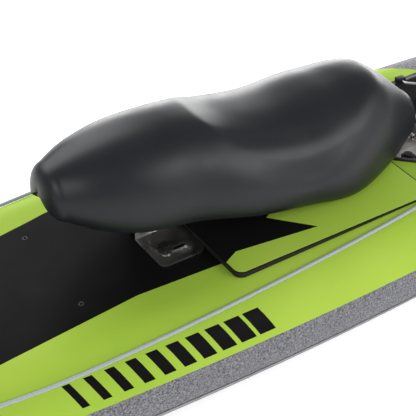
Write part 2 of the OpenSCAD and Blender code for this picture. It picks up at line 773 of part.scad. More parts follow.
ring_r = 18;
ring_wire = 2.5;
ring_up = gap + skin_t + 1.5;
module tow_ring_patch() {
  color(black) on_deck(tow_x) translate([0, 0, ring_up]) difference() {
    union() {
      cylinder(r = 30, h = 2, $fn = 72);
      translate([-9, -13, 0]) cube([18, 26, 10]);
    }
    translate([0, -30, 6]) rotate([-90, 0, 0]) cylinder(r = ring_wire + 0.06, h = 60, $fn = 40);
  }
}

// a D-shaped ring lying forward on the patch
module tow_ring() {
  color(steel) on_deck(tow_x) translate([0, 0, ring_up + 6]) {
    translate([0, -ring_r, 0]) rotate([-90, 0, 0]) cylinder(r = ring_wire, h = 2 * ring_r, $fn = 32);
    for (s = [-1, 1]) {
      translate([0, s * ring_r, 0]) rotate(s * 135) sphere(r = ring_wire + 0.2, $fn = 32);
      translate([0, s * ring_r, 0]) rotate([0, 90, 0]) cylinder(r = ring_wire, h = 12, $fn = 32);
    }
    translate([12, 0, 0]) difference() {
      rotate_extrude($fn = 60) translate([ring_r, 0]) circle(r = ring_wire, $fn = 32);
      translate([-30, -30, -9]) cube([30, 60, 18]);
    }
  }
}

bumper_x = [for (x = hull_x) if (x > bow_c + 0.3 * rail_r) x];
module bow_bumper() {
  color([0.1, 0.1, 0.11]) sheet(
    [for (x = bumper_x) wrap_ring(x, gap + 3)],
    [for (x = bumper_x) wrap_ring(x, gap)]);
}

hull_chamber();
deck_skin();
keel_strips();
rail_seam_tapes();
console_base();
console_panel();
stern_bay_tray();
stud_plates();
mount_studs();
knob_washers();
knob_front_port();
knob_front_starboard();
knob_rear_port();
knob_rear_starboard();
saddle_cover();
saddle_foam();
saddle_pan();
front_post();
rear_post();
front_bracket_port();
front_bracket_starboard();
rear_bracket_port();
rear_bracket_starboard();
bracket_bolts();
bracket_nuts();
deck_line_port();
deck_line_starboard();
deck_line_eyes();
deck_line_knots();
accessory_inserts();
bail_handle();
bail_blocks();
bay_screws();
valve_body();
valve_seat();
valve_plunger();
valve_spring();
valve_cap();
valve_hinge_pin();
bow_handle_strap();
bow_handle_grip();
stern_handle_strap();
stern_handle_grip();
tow_ring_patch();
tow_ring();
bow_bumper();
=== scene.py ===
"""Visual model of an inflatable sit-astride kayak, laid out as a Blender add-on."""
import math

import bpy
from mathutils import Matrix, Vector


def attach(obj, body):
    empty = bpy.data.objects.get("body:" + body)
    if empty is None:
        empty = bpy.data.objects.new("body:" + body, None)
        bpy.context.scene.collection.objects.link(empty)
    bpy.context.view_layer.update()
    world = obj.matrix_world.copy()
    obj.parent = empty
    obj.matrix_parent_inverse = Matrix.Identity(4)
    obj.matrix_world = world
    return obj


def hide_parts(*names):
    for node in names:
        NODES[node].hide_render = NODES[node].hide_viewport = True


bl_info = {
    "name": "Inflatable Saddle Kayak",
    "version": (1, 0, 0),
    "blender": (4, 5, 0),
    "location": "View3D > Sidebar > Kayak",
    "description": "Builds the kayak's soft goods, finishes and studio around its packed frame",
    "category": "Add Mesh",
}

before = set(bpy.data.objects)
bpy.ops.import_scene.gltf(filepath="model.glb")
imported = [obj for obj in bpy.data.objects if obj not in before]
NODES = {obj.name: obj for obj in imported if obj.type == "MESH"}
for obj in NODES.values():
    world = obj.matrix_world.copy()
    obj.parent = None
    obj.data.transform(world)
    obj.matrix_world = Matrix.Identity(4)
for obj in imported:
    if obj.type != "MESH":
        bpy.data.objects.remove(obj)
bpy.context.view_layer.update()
MM = 0.001

# The hull's shape, in metres, as the frame has it
DECK_Z = 0.2
RAIL_R = 0.1
WAIST = 0.178
PLAN_DROP = 0.0716
RISE_START = 0.7
BOW_RISE = 0.15
BOW_TIP = 1.6767

# Corners closer than this are joined, and faces flatter than this are merged
WELD = 0.02 * MM
FLAT_ANGLE = math.radians(2)

# Angles in degrees under which shading stays smooth
SHELL_ANGLE = 32
WIRE_ANGLE = 40
PAD_ANGLE = 50
CORD_ANGLE = 60


# --- Small tools ---------------------------------------------------------------
def only(obj):
    """Selects one object and nothing else."""
    bpy.ops.object.select_all(action="DESELECT")
    obj.select_set(True)
    bpy.context.view_layer.objects.active = obj


def in_edit(obj, work):
    """Runs work() in edit mode with everything of the object selected."""
    only(obj)
    bpy.ops.object.mode_set(mode="EDIT")
    bpy.ops.mesh.select_all(action="SELECT")
    work()
    bpy.ops.object.mode_set(mode="OBJECT")


def add_modifier(obj, kind, **settings):
    """Adds a modifier, sets it and applies it."""
    only(obj)
    m = obj.modifiers.new(kind.title(), kind)
    for key, value in settings.items():
        setattr(m, key, value)
    bpy.ops.object.modifier_apply(modifier=m.name)


def smooth(obj, degrees):
    """Smooth shading that stays sharp at edges steeper than this."""
    only(obj)
    bpy.ops.object.shade_smooth_by_angle(angle=math.radians(degrees))


def finish(obj, material, body="hull"):
    """Gives a piece its material and its body."""
    obj.data.materials.clear()
    obj.data.materials.append(material)
    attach(obj, body)
    return obj


def cad_copy(node, name):
    """A copy of a CAD node with its corners joined, which stands for the node."""
    source = NODES[node]
    obj = bpy.data.objects.new(name, source.data.copy())
    bpy.context.scene.collection.objects.link(obj)

    def join():
        bpy.ops.mesh.customdata_custom_splitnormals_clear()
        bpy.ops.mesh.remove_doubles(threshold=WELD)

    in_edit(obj, join)
    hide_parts(node)
    return obj


def worked(node, name, edge, material, body="hull", degrees=35, segments=2):
    """A CAD node's copy with its edges broken by a small bevel."""
    obj = cad_copy(node, name)
    in_edit(obj, lambda: bpy.ops.mesh.dissolve_limited(angle_limit=FLAT_ANGLE))
    add_modifier(
        obj, "BEVEL", width=edge, segments=segments, limit_method="ANGLE",
        angle_limit=math.radians(degrees), use_clamp_overlap=True,
    )
    smooth(obj, degrees)
    return finish(obj, material, body)


def lofted(name, rings):
    """A closed mesh through rings of points."""
    m, n = len(rings[0]), len(rings)
    faces = [
        (i * m + j, i * m + (j + 1) % m, (i + 1) * m + (j + 1) % m, (i + 1) * m + j)
        for i in range(n - 1) for j in range(m)
    ]
    faces += [tuple(reversed(range(m))), tuple((n - 1) * m + j for j in range(m))]
    mesh = bpy.data.meshes.new(name)
    mesh.from_pydata([p for r in rings for p in r], [], faces)
    obj = bpy.data.objects.new(name, mesh)
    bpy.context.scene.collection.objects.link(obj)
    in_edit(obj, lambda: bpy.ops.mesh.normals_make_consistent(inside=False))
    return obj


def catmull(values, u):
    """A smooth value of an evenly spaced list at u from 0 to 1."""
    s = u * (len(values) - 1)
    i = min(int(s), len(values) - 2)
    f = s - i
    p1, p2 = values[i], values[i + 1]
    p0 = values[i - 1] if i > 0 else 2 * p1 - p2
    p3 = values[i + 2] if i < len(values) - 2 else 2 * p2 - p1
    return p1 + 0.5 * f * (
        p2 - p0 + f * (2 * p0 - 5 * p1 + 4 * p2 - p3 + f * (3 * (p1 - p2) + p3 - p0))
    )


def clamp(v, low=0.0, high=1.0):
    return min(high, max(low, v))


def ease(v):
    v = clamp(v)
    return v * v * (3 - 2 * v)


# --- Shader maths -----------------------------------------------------------------
class Value:
    """A socket that takes part in ordinary sums."""

    def __init__(self, paint, socket):
        self.paint, self.socket = paint, socket

    def _math(self, operation, *others):
        sockets = {i: v for i, v in enumerate((self, *others))}
        return self.paint.add("ShaderNodeMath", {"operation": operation}, sockets)

    def __add__(self, other):
        return self._math("ADD", other)

    __radd__ = __add__

    def __sub__(self, other):
        return self._math("SUBTRACT", other)

    def __rsub__(self, other):
        return self.paint.add("ShaderNodeMath", {"operation": "SUBTRACT"}, {0: other, 1: self})

    def __mul__(self, other):
        return self._math("MULTIPLY", other)

    __rmul__ = __mul__

    def __truediv__(self, other):
        return self._math("DIVIDE", other)

    def __gt__(self, other):
        return self._math("GREATER_THAN", other)

    def __lt__(self, other):
        return self._math("LESS_THAN", other)

    def high(self, other):
        return self._math("MAXIMUM", other)

    def low(self, other):
        return self._math("MINIMUM", other)

    def fraction(self):
        return self._math("FRACT")

    def size(self):
        return self._math("ABSOLUTE")


class Paint:
    """One material, built from nodes."""

    def __init__(self, name):
        self.material = bpy.data.materials.new(name)
        self.material.use_nodes = True
        self.tree = self.material.node_tree
        self.tree.nodes.clear()
        self.shader = self.tree.nodes.new("ShaderNodeBsdfPrincipled")
        out = self.tree.nodes.new("ShaderNodeOutputMaterial")
        self.tree.links.new(self.shader.outputs[0], out.inputs[0])

    def add(self, kind, settings, sockets, output=0):
        """Adds a node: its settings first, then its sockets' values or links."""
        node = self.tree.nodes.new(kind)
        stops = settings.pop("stops", None)
        for key, value in settings.items():
            setattr(node, key, value)
        if stops:
            while len(node.color_ramp.elements) < len(stops):
                node.color_ramp.elements.new(0.5)
            for element, (place, tone) in zip(node.color_ramp.elements, stops):
                element.position = place
                element.color = (*tone, 1) if hasattr(tone, "__len__") else (tone, tone, tone, 1)
        for key, value in sockets.items():
            self.plug(node.inputs[key], value)
        return Value(self, node.outputs[output])

    def plug(self, target, value):
        if isinstance(value, Value):
            self.tree.links.new(value.socket, target)
        elif hasattr(value, "__len__") and len(value) == 3 and len(target.default_value) == 4:
            target.default_value = (*value, 1)
        else:
            target.default_value = value

    def look(self, **sockets):
        """Sets the shader's own sockets, named in small letters with underscores."""
        for key, value in sockets.items():
            self.plug(self.shader.inputs[key.replace("_", " ").title()
                      .replace("Ior", "IOR")], value)
        return self.material

    def place(self):
        """Object coordinates, in metres."""
        return self.add("ShaderNodeTexCoord", {}, {}, 3)

    def axes(self):
        xyz = self.tree.nodes.new("ShaderNodeSeparateXYZ")
        self.plug(xyz.inputs[0], self.place())
        return [Value(self, xyz.outputs[i]) for i in range(3)]

    def noise(self, scale, detail=2.0, rough=0.5, stretch=None):
        where = self.place()
        if stretch:
            where = self.add("ShaderNodeMapping", {}, {"Vector": where, "Scale": stretch})
        return self.add("ShaderNodeTexNoise", {}, {
            "Vector": where, "Scale": scale, "Detail": detail, "Roughness": rough})

    def ramp(self, value, *stops):
        return self.add("ShaderNodeValToRGB", {"stops": stops}, {0: value})

    def mix(self, factor, a, b, blend="MIX"):
        node = self.tree.nodes.new("ShaderNodeMix")
        node.data_type = "RGBA"
        node.blend_type = blend
        for index, value in ((0, factor), (6, a), (7, b)):
            self.plug(node.inputs[index], value)
        return Value(self, node.outputs[2])

    def bump(self, height, distance, strength=1.0, under=None):
        sockets = {"Height": height, "Distance": distance, "Strength": strength}
        if under is not None:
            sockets["Normal"] = under
        return self.add("ShaderNodeBump", {}, sockets)


def wear(paint, amount=0.12):
    """A soft, uneven tone for scuffs and handling."""
    return paint.ramp(paint.noise(9, 5, 0.62), (0.35, 1 - amount), (0.7, 1.0))


# --- Finishes ------------------------------------------------------------------------
def heather_pvc(tone):
    """Laminated PVC printed with a heather fleck over its scrim weave."""
    p = Paint("heather_pvc")
    fleck = p.ramp(p.noise(300, 3, 0.8), (0.36, 0.30), (0.64, 1.9))
    grain = p.ramp(p.noise(900, 1, 0.5), (0.3, 0.7), (0.7, 1.35))
    colour = p.mix(1.0, p.mix(1.0, tone, fleck, "MULTIPLY"), grain, "MULTIPLY")
    weave = p.noise(900, 2, 0.6)
    return p.look(base_color=p.mix(0.5, colour, p.mix(1.0, colour, wear(p), "MULTIPLY")),
                  roughness=0.72, specular_ior_level=0.35,
                  normal=p.bump(weave, 0.25 * MM, 0.5))


def hull_angle(p, x, y, z):
    """How far round the rail a point is, in radians from straight up."""
    flat = WAIST - PLAN_DROP * (x * x)
    over = (x - RISE_START).high(0.0) / (BOW_TIP - RISE_START)
    out = (y.size() - flat).high(0.0)
    return p.add("ShaderNodeMath", {"operation": "ARCTAN2"},
                 {0: out, 1: z - RAIL_R - BOW_RISE * (over * over)})


def satin_print(p, colour):
    """The sheen and fine emboss shared by the printed deck pieces."""
    emboss = p.noise(620, 2, 0.55)
    broad = p.noise(14, 2, 0.5)
    gloss = p.ramp(p.noise(24, 4, 0.6), (0.3, 0.34), (0.75, 0.46))
    return p.look(base_color=colour, roughness=gloss, specular_ior_level=0.03,
                  normal=p.bump(emboss, 0.12 * MM, 0.4, p.bump(broad, 1.2 * MM, 0.25)))


def lime_tone(p, lime):
    """Lime ink that is a touch uneven, as printed film is."""
    return p.mix(p.ramp(p.noise(3.2, 3, 0.55), (0.35, 0.0), (0.7, 1.0)),
                 lime, [lime[0] * 1.18, lime[1] * 1.07, lime[2] * 1.35])


# Straight printed edges: the half-width at a station, its change per metre, the station
PANEL_PORT = ((0.141, -0.0596, 0.209), (0.132, 0.0824, 0.36), (0.152, -0.165, 0.62))
PANEL_STARBOARD = ((0.1455, -0.19, 0.378), (0.134, -0.115, 0.47), (0.13, -0.152, 0.47))
PANEL_WIDEST = 0.1455
PANEL_START = 0.17
ARROW_OUTER = (0.1355, -0.12, 0.203)
ARROW_INNER = (0.090, -1.10, 0.076)
ARROW_HEAD = 0.076
ARROW_TAIL = 0.014
STEM_EDGE = (0.078, 0.5, 0.05)
STEM_LEAST = 0.078
STEM_TAIL = -0.03
CONSOLE_STERN = -0.2185
STEEPEST_TOP = 0.8

# The bars: angles round the rail, stations, and how their width and slant change
BAR_UPPER, BAR_LOWER, BAR_MIDDLE = 0.70, 1.13, 0.9
BAR_START, BAR_END, BAR_STEP = 0.19, 0.565, 0.0375
BAR_SLANT = 0.045
BAR_WIDEST, BAR_TAPER = 0.86, 0.055


def edge_at(x, width, slope, station):
    """The half-width of a straight printed edge at x."""
    return width + slope * (x - station)


def deck_print(c):
    """Lime skin with a black centre panel and plain slanted bars round the rails."""
    p = Paint("deck_print")
    x, y, z = p.axes()
    stern, middle, bow = (edge_at(x, *line) for line in PANEL_PORT)
    port = stern.high(middle).low(bow)
    stern, middle, bow = (edge_at(x, *line) for line in PANEL_STARBOARD)
    starboard = stern.low(PANEL_WIDEST).low(middle).high(bow)
    panel = (y < port) * ((0.0 - y) < starboard) * (x > PANEL_START)
    # slanted bars that grow wider towards the stern
    round_rail = hull_angle(p, x, y, z)
    band = (round_rail > BAR_UPPER) * (round_rail < BAR_LOWER)
    lean = x + BAR_SLANT * (round_rail - BAR_MIDDLE)
    step = (lean - BAR_START) / BAR_STEP
    bars = band * (lean > BAR_START) * (lean < BAR_END)
    bars = bars * (step.fraction() < (BAR_WIDEST - BAR_TAPER * step))
    return satin_print(p, p.mix(panel.high(bars), lime_tone(p, c.lime), c.black))


def console_print(c):
    """Lime top with a black pointed panel at its front; its edges are black."""
    p = Paint("console_print")
    x, y, _ = p.axes()
    side = y.size()
    head = (side > edge_at(x, *ARROW_INNER)).high(x > ARROW_HEAD)
    arrow = (side < edge_at(x, *ARROW_OUTER)) * head
    stem = side < edge_at(x, *STEM_EDGE).high(STEM_LEAST)
    front = (x > ARROW_TAIL) * arrow.high(stem * (x > STEM_TAIL))
    geometry = p.tree.nodes.new("ShaderNodeNewGeometry")
    up = p.tree.nodes.new("ShaderNodeSeparateXYZ")
    p.tree.links.new(geometry.outputs["Normal"], up.inputs[0])
    rim = (Value(p, up.outputs[2]) < STEEPEST_TOP).high(x < CONSOLE_STERN)
    return satin_print(p, p.mix(front.high(rim), lime_tone(p, c.lime), c.black))


def moulded(name, tone, roughness=0.55, grain=900.0, depth=0.12):
    """Moulded plastic or rubber with a fine spark grain."""
    p = Paint(name)
    tint = p.mix(1.0, tone, p.ramp(p.noise(60, 3, 0.6), (0.3, 0.8), (0.7, 1.25)), "MULTIPLY")
    rough = p.ramp(p.noise(18, 4, 0.6), (0.3, roughness - 0.08), (0.7, roughness + 0.08))
    return p.look(base_color=tint, roughness=rough, specular_ior_level=0.45,
                  normal=p.bump(p.noise(grain, 1, 0.5), depth * MM, 0.5))


def brushed(name, tone, stretch=(30, 900, 900), roughness=0.3):
    """Stainless steel with a fine brushed grain and light smears."""
    p = Paint(name)
    lines = p.noise(1.0, 3, 0.6, stretch)
    rough = p.ramp(p.noise(30, 4, 0.6), (0.3, roughness - 0.07), (0.7, roughness + 0.12))
    tint = p.mix(1.0, tone, p.ramp(lines, (0.3, 0.86), (0.7, 1.08)), "MULTIPLY")
    return p.look(base_color=tint, metallic=1.0, roughness=rough,
                  normal=p.bump(lines, 0.03 * MM, 0.6))


def marine_vinyl(tone):
    """Satin black vinyl with a fine leather grain and faint handling marks."""
    p = Paint("marine_vinyl")
    cells = p.add("ShaderNodeTexVoronoi", {"feature": "DISTANCE_TO_EDGE"},
                  {"Vector": p.place(), "Scale": 620.0})
    creases = p.ramp(cells, (0.02, 0.0), (0.22, 1.0))
    broad = p.noise(30, 4, 0.55)
    rough = p.ramp(p.noise(22, 5, 0.6), (0.3, 0.33), (0.72, 0.42))
    tint = p.mix(1.0, tone, p.ramp(p.noise(7, 4, 0.6), (0.3, 0.9), (0.7, 1.15)), "MULTIPLY")
    return p.look(base_color=tint, roughness=rough, specular_ior_level=0.3,
                  normal=p.bump(creases, 0.07 * MM, 0.35, p.bump(broad, 0.5 * MM, 0.15)))


def twisted_line(tone):
    """Twisted polyester: fine fibres laid along each strand."""
    p = Paint("twisted_line")
    uv = p.add("ShaderNodeTexCoord", {}, {}, 2)
    fibre = p.add("ShaderNodeTexWave", {"wave_type": "BANDS", "bands_direction": "DIAGONAL"},
                  {"Vector": uv, "Scale": 9.0, "Distortion": 1.5, "Detail": 2.0})
    tint = p.mix(1.0, tone, p.ramp(fibre, (0.0, 0.75), (1.0, 1.15)), "MULTIPLY")
    return p.look(base_color=tint, roughness=0.6, sheen_weight=0.2,
                  normal=p.bump(fibre, 0.12 * MM, 0.5))


def webbing(tone):
    """Woven polyester webbing with a cross rib."""
    p = Paint("webbing")
    where = p.place()
    warp = p.add("ShaderNodeTexWave", {"wave_type": "BANDS", "bands_direction": "X"},
                 {"Vector": where, "Scale": 190.0, "Distortion": 0.6})
    weft = p.add("ShaderNodeTexWave", {"wave_type": "BANDS", "bands_direction": "Y"},
                 {"Vector": where, "Scale": 260.0, "Distortion": 0.6})
    weave = warp * weft
    tint = p.mix(1.0, tone, p.ramp(weave, (0.0, 0.6), (0.6, 1.6)), "MULTIPLY")
    return p.look(base_color=tint, roughness=0.8, sheen_weight=0.3,
                  normal=p.bump(weave, 0.35 * MM, 0.7))


FINISHES = {}


def paint(name, make, *args, **more):
    """Makes a finish once and hands it out again."""
    if name not in FINISHES:
        FINISHES[name] = make(*args, **more)
    return FINISHES[name]


def steel():
    return paint("steel", brushed, "stainless", colours().steel[:])


def black_plastic():
    return paint("plastic", moulded, "black_plastic", colours().black[:])


def black_rubber():
    return paint("rubber", moulded, "black_rubber", colours().black[:],
                 roughness=0.7, grain=500.0)


# --- Settings ---------------------------------------------------------------------------
def tone(name, what, value):
    return bpy.props.FloatVectorProperty(
        name=name, description=what, subtype="COLOR", size=3, min=0, max=1, default=value)


def length(name, what, value):
    return bpy.props.FloatProperty(
        name=name, description=what, default=value, unit="LENGTH", precision=4)


class KayakColours(bpy.types.PropertyGroup):
    """Inks and base colours."""

    lime: tone("Lime", "Ink of the deck skin and console", (0.335, 0.525, 0.052))
    black: tone("Black", "Ink, rubber and moulded plastic", (0.0065, 0.0065, 0.0072))
    heather: tone("Heather", "Mean grey of the hull fabric", (0.155, 0.155, 0.17))
    tape: tone("Tape", "Grey of the welded seam tapes", (0.24, 0.24, 0.25))
    line: tone("Deck line", "Grey of the twisted line", (0.40, 0.45, 0.49))
    vinyl: tone("Vinyl", "Charcoal of the saddle", (0.0125, 0.0137, 0.017))
    steel: tone("Steel", "Stainless fittings", (0.56, 0.55, 0.53))


class KayakSaddle(bpy.types.PropertyGroup):
    """The saddle's padding."""

    rings: bpy.props.IntProperty(
        name="Stations", description="Rings along the saddle", default=110)
    arc: bpy.props.IntProperty(name="Arc", description="Steps from edge to crown", default=30)
    dish: length("Dish", "How far the seat is hollowed", 7 * MM)
    rim: length("Rim", "How far the seat's rim stands up", 1.0 * MM)
    groove: length("Groove", "Depth of the fold under the seat's rim", 3 * MM)
    groove_width: length("Groove width", "Half-width of that fold", 12 * MM)
    chin: length("Chin", "How far the nose's lower edge swells", 9 * MM)
    pressure: bpy.props.FloatProperty(
        name="Pressure", description="Swell of the padding", default=3.0)
    cap: length("Cap", "Furthest that the padding may swell", 3 * MM)


class KayakLine(bpy.types.PropertyGroup):
    """The deck lines."""

    diameter: length("Diameter", "Diameter over the strands", 6.6 * MM)
    lay: length("Lay", "Length of one full twist", 24 * MM)
    strands: bpy.props.IntProperty(name="Strands", description="Strands in the line", default=3)


class KayakStage(bpy.types.PropertyGroup):
    """Camera and studio light."""

    azimuth: bpy.props.FloatProperty(
        name="Azimuth", description="Camera's bearing", default=math.radians(146.55),
        unit="ROTATION")
    elevation: bpy.props.FloatProperty(
        name="Elevation", description="Camera's height angle", default=math.radians(37.79),
        unit="ROTATION")
    distance: length("Distance", "From the camera to the spot it faces", 2.1752)
    ahead: length("Ahead", "How far ahead of the widest station that spot is", 0.1364)
    lens: bpy.props.FloatProperty(name="Lens", description="Focal length in mm", default=106.43)
    key: bpy.props.FloatProperty(name="Key", description="Power of the high softbox", default=46.0)
    back: bpy.props.FloatProperty(
        name="Back", description="Power of the low far panel", default=42.0)
    tail: bpy.props.FloatProperty(
        name="Tail", description="Power of the softbox astern", default=34.0)
    bow: bpy.props.FloatProperty(name="Bow", description="Power of the softbox ahead", default=24.0)
    sky: bpy.props.FloatProperty(
        name="Sky", description="Strength of the plain surround", default=0.34)
    glow: bpy.props.FloatProperty(name="Glow", description="Light the floor gives off", default=0.5)


def colours():
    return bpy.context.scene.kayak_colours


# --- Pieces -----------------------------------------------------------------------------
class KayakOperator(bpy.types.Operator):
    bl_options = {"REGISTER", "UNDO"}


class KAYAK_OT_hull(KayakOperator):
    """Adds the air chamber, its seam tapes and the bow's rub patch"""

    bl_idname = "kayak.hull"
    bl_label = "Hull"

    def execute(self, context):
        heather = paint("heather", heather_pvc, colours().heather[:])
        tape = paint("tape", moulded, "seam_tape", colours().tape[:], roughness=0.6, grain=700.0)
        for node, name, material, slot in (
            ("hull_chamber", "air_chamber", heather, "hull_pvc"),
            ("rail_seam_tapes", "seam_tapes", tape, "tape"),
            ("keel_strips", "wear_strips", black_rubber(), "black_rubber"),
            ("bow_bumper", "bow_rub_patch", black_rubber(), "black_rubber"),
        ):
            piece = cad_copy(node, name)
            smooth(piece, SHELL_ANGLE)
            finish(piece, material)
        return {"FINISHED"}


class KAYAK_OT_deck(KayakOperator):
    """Adds the printed skin, the console and the stern bay"""

    bl_idname = "kayak.deck"
    bl_label = "Deck"

    def execute(self, context):
        c = colours()
        skin = cad_copy("deck_skin", "printed_skin")
        smooth(skin, SHELL_ANGLE)
        finish(skin, deck_print(c))
        worked("console_base", "console_wall", 1.2 * MM, black_rubber(), segments=3)
        worked("console_panel", "console_top", 0.9 * MM, console_print(c),
               segments=3)
        tray = moulded("bay_plastic", c.black[:], roughness=0.5, grain=700.0, depth=0.2)
        worked("stern_bay_tray", "bay_tray", 0.8 * MM, tray)
        worked("accessory_inserts", "deck_sockets", 0.4 * MM, black_plastic())
        worked("bay_screws", "bay_screws_set", 0.3 * MM, steel())
        return {"FINISHED"}


# The saddle, in mm: eight equal stations from tail to nose, with heights over the deck
STATION_W = [42, 102, 139, 138, 133, 114, 101, 54]
STATION_TOP = [91, 181, 193, 192, 208, 229, 232, 214]
STATION_MID = [36, 35, 35, 53, 72, 95, 109, 134]
SADDLE_TAIL = -300
SADDLE_LEN = 732
SADDLE_CAP = 13
NOSE_CAP = 21
SKIRT = 18
SQUARENESS = 2.4
WALL = 2.4
RECESS = 9.0
LEDGE = 8
SKIRT_IN = 0.93
SKIRT_STEPS = ((SKIRT_IN, 0), (0.965, 0.45), (0.985, 0.75))
TIP_LOW, TIP_HIGH = 0.55, 0.45
TIP_LEAST = 0.0008
NOSE_TUCK, NOSE_RUN = 0.17, 60
UNDERSIDE_POINTS = 3

# The seat's hollow, in mm: a rounded oblong about its middle
SEAT_MIDDLE, SEAT_LONG, SEAT_WIDE, SEAT_MEAN = -8, 186, 121, 118
SEAT_POWER = 2.5
SEAT_SIDE, SEAT_SIDE_BLEND = 150, 20
HOLLOW_RUN, RIM_RUN = 0.42, 0.2
FOLD_SIDE, FOLD_SIDE_BLEND = 45, 45
FOLD_STERN, FOLD_BOW, FOLD_BLEND = -235, 175, 70
FOLD_OFF = 6 * MM
CHIN_AT, CHIN_SPREAD = 425, 60

# In metres: how the form and the swell fade towards the skirt, and what the pan holds
CHIN_TOP, CHIN_BLEND = 0.275, 0.12
FORM_BLEND = 0.03
SWELL_BLEND = 0.04
HELD_BELOW = 0.004


def saddle_ring(x, arc_steps):
    """One closed section of the saddle with the pan's recess under it, in metres."""
    u = clamp((x - SADDLE_TAIL) / SADDLE_LEN)
    end = SADDLE_TAIL + SADDLE_LEN
    over = max(0.0, (SADDLE_TAIL - x) / SADDLE_CAP, (x - end) / NOSE_CAP)
    tuck = 1 - NOSE_TUCK * clamp((x - end + NOSE_RUN) / NOSE_RUN) ** 2
    k = math.sqrt(max(TIP_LEAST, 1 - over ** 2)) * tuck
    w, top, mid = (catmull(v, u) for v in (STATION_W, STATION_TOP, STATION_MID))
    low = mid - SKIRT
    foot = SKIRT_IN * w
    side = [(foot - LEDGE, low + RECESS), (foot - WALL, low + RECESS), (foot - WALL, low)]
    side += [(part * w, low + rise * SKIRT) for part, rise in SKIRT_STEPS]
    for i in range(arc_steps + 1):
        a = math.pi / 2 * i / arc_steps
        side.append((w * max(0.0, math.cos(a)) ** (2 / SQUARENESS),
                     mid + (top - mid) * math.sin(a) ** (2 / SQUARENESS)))
    centre = TIP_LOW * mid + TIP_HIGH * top
    half = [(k * y, centre + k * (z - centre)) for y, z in side]
    ring = half + [(-y, z) for y, z in reversed(half[:-1])]
    return [(x * MM, y * MM, DECK_Z + z * MM) for y, z in ring]


def seat_form(s, co):
    """How far a point of the saddle moves outwards, for the dish, its rim and the side fold."""
    x, y = co.x / MM, abs(co.y) / MM
    along, across = abs(x - SEAT_MIDDLE) / SEAT_LONG, y / SEAT_WIDE
    q = (along ** SEAT_POWER + across ** SEAT_POWER) ** (1 / SEAT_POWER)
    off = (q - 1) * SEAT_MEAN * MM
    beside = (ease((y - FOLD_SIDE) / FOLD_SIDE_BLEND) * ease((x - FOLD_STERN) / FOLD_BLEND)
              * ease((FOLD_BOW - x) / FOLD_BLEND))
    fold = -s.groove * math.exp(-((off - FOLD_OFF) / s.groove_width) ** 2) * beside
    chin = (s.chin * math.exp(-((x - CHIN_AT) / CHIN_SPREAD) ** 2)
            * ease((CHIN_TOP + DECK_Z - co.z) / CHIN_BLEND))
    inward = clamp((1 - q) / HOLLOW_RUN)
    if q < 1:
        dish = s.rim - (s.dish + s.rim) * inward * (2 - inward)
    else:
        dish = s.rim * ease((1 + RIM_RUN - q) / RIM_RUN)
    return fold + chin + dish * ease((SEAT_SIDE - y) / SEAT_SIDE_BLEND)


def pad_out(obj, pressure, cap, pinned, frames=20):
    """Swells a padded piece like a filled cover, by no more than cap(point)."""
    rest = [v.co.copy() for v in obj.data.vertices]
    group = obj.vertex_groups.new(name="held")
    group.add([i for i, v in enumerate(rest) if pinned(v)], 1.0, "REPLACE")
    only(obj)
    m = obj.modifiers.new("Cloth", "CLOTH")
    cloth = m.settings
    cloth.quality, cloth.mass = 4, 0.4
    cloth.tension_stiffness = cloth.compression_stiffness = 14
    cloth.shear_stiffness, cloth.bending_stiffness = 8, 1.5
    cloth.vertex_group_mass = "held"
    cloth.use_pressure, cloth.uniform_pressure_force = True, pressure
    cloth.effector_weights.gravity = 0
    m.collision_settings.use_collision = False
    scene = bpy.context.scene
    scene.frame_start, scene.frame_end = 1, frames
    for f in range(1, frames + 1):
        scene.frame_set(f)
    bpy.ops.object.modifier_apply(modifier=m.name)
    scene.frame_set(1)
    for v, was in zip(obj.data.vertices, rest):
        step, most = v.co - was, cap(was)
        v.co = was + step * min(1.0, most / max(step.length, 1e-9))


class KAYAK_OT_saddle(KayakOperator):
    """Adds the padded saddle and its pan"""

    bl_idname = "kayak.saddle"
    bl_label = "Saddle"

    def execute(self, context):
        s = context.scene.kayak_saddle
        stations = [SADDLE_TAIL - SADDLE_CAP * math.sin(math.radians(a))
                    for a in range(88, 0, -11)]
        stations += [SADDLE_TAIL + SADDLE_LEN * i / s.rings for i in range(s.rings + 1)]
        stations += [SADDLE_TAIL + SADDLE_LEN + NOSE_CAP * math.sin(math.radians(a))
                     for a in range(11, 89, 11)]
        pad = lofted("saddle_pad", [saddle_ring(x, s.arc) for x in stations])
        pad.data.update()
        round_count = len(saddle_ring(0, s.arc))
        moves = []
        for v in pad.data.vertices:
            j = v.index % round_count
            push = 0.0
            if min(j, round_count - 1 - j) > UNDERSIDE_POINTS:
                push = seat_form(s, v.co) * ease(self.over_skirt(v.co) / FORM_BLEND)
            moves.append(v.co + v.normal * push)
        for v, place in zip(pad.data.vertices, moves):
            v.co = place
        pad_out(pad, s.pressure, lambda v: s.cap * ease(self.over_skirt(v) / SWELL_BLEND),
                lambda v: self.over_skirt(v) < HELD_BELOW)
        add_modifier(pad, "SUBSURF", levels=1, render_levels=1)
        smooth(pad, PAD_ANGLE)
        finish(pad, marine_vinyl(colours().vinyl[:]), "saddle")
        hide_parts("saddle_cover", "saddle_foam")
        worked("saddle_pan", "saddle_base", 0.8 * MM, black_plastic(), "saddle")
        return {"FINISHED"}

    @staticmethod
    def over_skirt(v):
        """Height over the skirt's lower edge; the pan holds what lies near it."""
        u = clamp((v.x / MM - SADDLE_TAIL) / SADDLE_LEN)
        return max(0.0, v.z - DECK_Z - (catmull(STATION_MID, u) - SKIRT) * MM)


